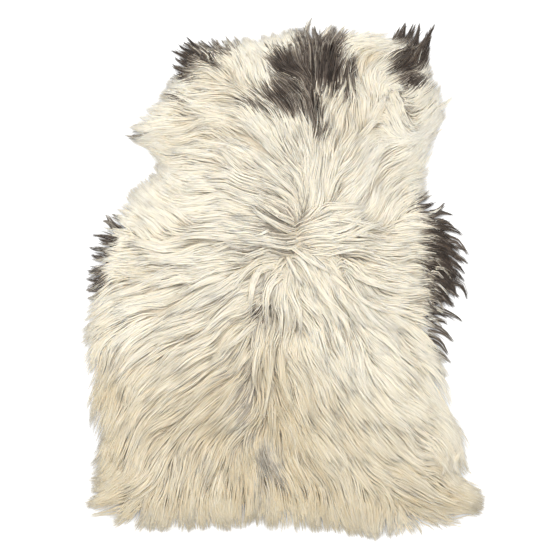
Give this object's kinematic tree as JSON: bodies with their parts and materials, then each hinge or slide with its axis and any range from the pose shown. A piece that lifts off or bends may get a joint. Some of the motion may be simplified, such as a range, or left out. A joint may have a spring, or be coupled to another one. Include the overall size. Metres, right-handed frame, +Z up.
{
  "type": "long-wool sheepskin",
  "caption": "Tanned sheepskin laid out flat, with long wavy wool combed outwards from a whorl on the back and pointed locks round its edge.",
  "frame": {"origin": "on the surface that the skin lies on, under the middle of the pelt", "axes": "+X to the right and +Y towards the neck as the pelt is seen from above, +Z up out of the wool"},
  "size_m": [0.7598, 1.0878, 0.0705],
  "materials": {
    "wool": "long cream wool with grey and dark brown patches, soft and slightly glossy",
    "hide": "suede flesh side of a tanned skin, matt"
  },
  "bodies": {
    "root": {"sheepskin": "wool"}
  },
  "joints": []
}
